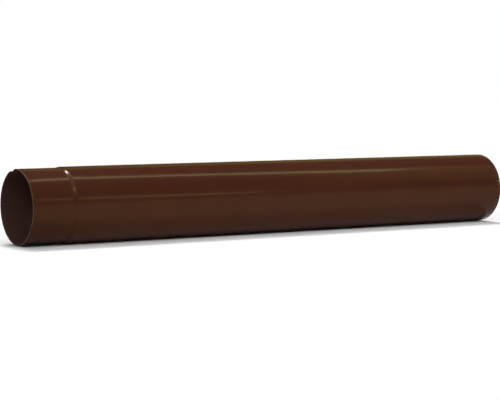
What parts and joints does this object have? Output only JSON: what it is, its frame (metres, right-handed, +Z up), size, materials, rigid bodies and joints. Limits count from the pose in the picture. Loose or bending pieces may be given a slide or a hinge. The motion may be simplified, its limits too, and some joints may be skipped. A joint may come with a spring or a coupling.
{
  "type": "downspout pipe",
  "caption": "Round downspout pipe of brown coated sheet steel, with a reduced spigot at one end that slides into the plain end of the next pipe.",
  "frame": {"origin": "on the floor, under the middle of the lying pipe", "axes": "+X along the pipe from the spigot to the plain end, +Z up"},
  "size_m": [0.77, 0.1, 0.0999],
  "materials": {
    "coated_steel": "satin brown coating"
  },
  "bodies": {
    "root": {"downspout_pipe": "coated_steel"}
  },
  "joints": []
}
